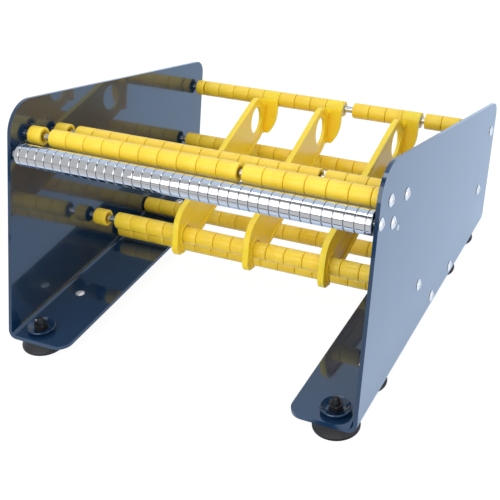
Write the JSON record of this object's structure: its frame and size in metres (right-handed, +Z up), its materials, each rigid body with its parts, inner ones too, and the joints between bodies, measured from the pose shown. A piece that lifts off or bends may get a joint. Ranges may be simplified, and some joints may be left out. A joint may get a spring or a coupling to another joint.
{
  "type": "label dispenser",
  "caption": "Counter label dispenser: folded side plates, rows of loose rings on shafts, a grooved peel roller, hinged roll guides and rubber feet.",
  "frame": {"origin": "on the table, under the middle of the whole object's box", "axes": "+X to the right seen from the front, +Y from the peel roller to the back, +Z up"},
  "size_m": [0.3114, 0.3486, 0.1952],
  "materials": {
    "plate_paint": "smooth gloss powder coat, dark petrol blue",
    "ring_plastic": "satin moulded plastic, warm yellow",
    "guide_plastic": "translucent moulded plastic, pale yellow",
    "bush_plastic": "smooth plain plastic",
    "roller_chrome": "polished, with narrow grooves",
    "bright_steel": "bright drawn steel",
    "bar_metal": "smooth satin",
    "screw_steel": "bright zinc plated",
    "washer_paint": "gloss powder coat",
    "black_steel": "blackened",
    "foot_rubber": "matt moulded rubber"
  },
  "bodies": {
    "root": {"left_side_plate": "plate_paint", "right_side_plate": "plate_paint", "upper_front_shaft": "bright_steel", "second_shaft": "bright_steel", "rear_top_shaft": "bright_steel", "rear_middle_shaft": "bright_steel", "rear_bottom_shaft": "bright_steel", "front_lower_shaft": "bright_steel", "bottom_shaft": "bright_steel", "peel_shaft": "bright_steel", "tie_bar": "bar_metal", "web_rod": "bright_steel", "left_shaft_screws": "screw_steel", "right_shaft_screws": "screw_steel", "guide_1_bush": "bush_plastic", "left_front_foot": "foot_rubber", "left_front_middle_foot": "foot_rubber", "left_rear_middle_foot": "foot_rubber", "left_rear_foot": "foot_rubber", "right_front_foot": "foot_rubber", "right_front_middle_foot": "foot_rubber", "right_rear_middle_foot": "foot_rubber", "right_rear_foot": "foot_rubber", "foot_studs": "black_steel", "foot_nuts": "black_steel", "foot_cup_washers": "washer_paint", "foot_screws": "screw_steel"},
    "upper_front_ring_left": {"upper_front_ring_left": "ring_plastic"},
    "upper_front_rings_main": {"upper_front_rings_main": "ring_plastic"},
    "upper_front_rings_right": {"upper_front_rings_right": "ring_plastic"},
    "second_ring_left": {"second_ring_left": "ring_plastic"},
    "second_rings_main": {"second_rings_main": "ring_plastic"},
    "second_rings_right": {"second_rings_right": "ring_plastic"},
    "rear_top_rings_1": {"rear_top_rings_1": "ring_plastic"},
    "rear_top_rings_2": {"rear_top_rings_2": "ring_plastic"},
    "rear_top_rings_3": {"rear_top_rings_3": "ring_plastic"},
    "rear_top_rings_4": {"rear_top_rings_4": "ring_plastic"},
    "rear_middle_rings": {"rear_middle_rings": "ring_plastic"},
    "rear_bottom_rings": {"rear_bottom_rings": "ring_plastic"},
    "front_lower_ring_left": {"front_lower_ring_left": "ring_plastic"},
    "front_lower_rings_main": {"front_lower_rings_main": "ring_plastic"},
    "bottom_rings": {"bottom_rings": "ring_plastic"},
    "peel_roller": {"peel_roller": "roller_chrome"},
    "guide_2_bush": {"guide_2_bush": "bush_plastic"},
    "guide_3_bush": {"guide_3_bush": "bush_plastic"},
    "guide_1": {"guide_1": "guide_plastic"},
    "guide_2": {"guide_2": "guide_plastic"},
    "guide_3": {"guide_3": "guide_plastic"}
  },
  "joints": [
    {"name": "upper_front_spin_left", "type": "hinge", "parent": "root", "child": "upper_front_ring_left", "pos_m": [0, -0.10877, 0.16855], "axis": [1, 0, 0], "continuous": true},
    {"name": "upper_front_spin_main", "type": "hinge", "parent": "root", "child": "upper_front_rings_main", "pos_m": [0, -0.10877, 0.16855], "axis": [1, 0, 0], "continuous": true},
    {"name": "upper_front_spin_right", "type": "hinge", "parent": "root", "child": "upper_front_rings_right", "pos_m": [0, -0.10877, 0.16855], "axis": [1, 0, 0], "continuous": true},
    {"name": "second_spin_left", "type": "hinge", "parent": "root", "child": "second_ring_left", "pos_m": [0, -0.07516, 0.15636], "axis": [1, 0, 0], "continuous": true},
    {"name": "second_spin_main", "type": "hinge", "parent": "root", "child": "second_rings_main", "pos_m": [0, -0.07516, 0.15636], "axis": [1, 0, 0], "continuous": true},
    {"name": "second_spin_right", "type": "hinge", "parent": "root", "child": "second_rings_right", "pos_m": [0, -0.07516, 0.15636], "axis": [1, 0, 0], "continuous": true},
    {"name": "rear_top_spin_1", "type": "hinge", "parent": "root", "child": "rear_top_rings_1", "pos_m": [0, 0.15817, 0.10113], "axis": [1, 0, 0], "continuous": true},
    {"name": "rear_top_spin_2", "type": "hinge", "parent": "root", "child": "rear_top_rings_2", "pos_m": [0, 0.15817, 0.10113], "axis": [1, 0, 0], "continuous": true},
    {"name": "rear_top_spin_3", "type": "hinge", "parent": "root", "child": "rear_top_rings_3", "pos_m": [0, 0.15817, 0.10113], "axis": [1, 0, 0], "continuous": true},
    {"name": "rear_top_spin_4", "type": "hinge", "parent": "root", "child": "rear_top_rings_4", "pos_m": [0, 0.15817, 0.10113], "axis": [1, 0, 0], "continuous": true},
    {"name": "rear_middle_spin", "type": "hinge", "parent": "root", "child": "rear_middle_rings", "pos_m": [0, 0.12622, 0.05733], "axis": [1, 0, 0], "continuous": true},
    {"name": "rear_bottom_spin", "type": "hinge", "parent": "root", "child": "rear_bottom_rings", "pos_m": [0, 0.04534, 0.02407], "axis": [1, 0, 0], "continuous": true},
    {"name": "front_lower_spin_left", "type": "hinge", "parent": "root", "child": "front_lower_ring_left", "pos_m": [0, -0.04023, 0.05762], "axis": [1, 0, 0], "continuous": true},
    {"name": "front_lower_spin_main", "type": "hinge", "parent": "root", "child": "front_lower_rings_main", "pos_m": [0, -0.04023, 0.05762], "axis": [1, 0, 0], "continuous": true},
    {"name": "bottom_spin", "type": "hinge", "parent": "root", "child": "bottom_rings", "pos_m": [0, -0.00465, 0.02465], "axis": [1, 0, 0], "continuous": true},
    {"name": "peel_spin", "type": "hinge", "parent": "root", "child": "peel_roller", "pos_m": [0, -0.12811, 0.16032], "axis": [1, 0, 0], "continuous": true},
    {"name": "guide_2_slide", "type": "slide", "parent": "root", "child": "guide_2_bush", "axis": [1, 0, 0], "range_m": [0, 0.009]},
    {"name": "guide_3_slide", "type": "slide", "parent": "root", "child": "guide_3_bush", "axis": [1, 0, 0], "range_m": [0, 0.004]},
    {"name": "guide_1_lift", "type": "hinge", "parent": "root", "child": "guide_1", "pos_m": [0, 0.15817, 0.10113], "axis": [-1, 0, 0], "range_deg": [0, 90]},
    {"name": "guide_2_lift", "type": "hinge", "parent": "guide_2_bush", "child": "guide_2", "pos_m": [0, 0.15817, 0.10113], "axis": [-1, 0, 0], "range_deg": [0, 90]},
    {"name": "guide_3_lift", "type": "hinge", "parent": "guide_3_bush", "child": "guide_3", "pos_m": [0, 0.15817, 0.10113], "axis": [-1, 0, 0], "range_deg": [0, 90]}
  ]
}
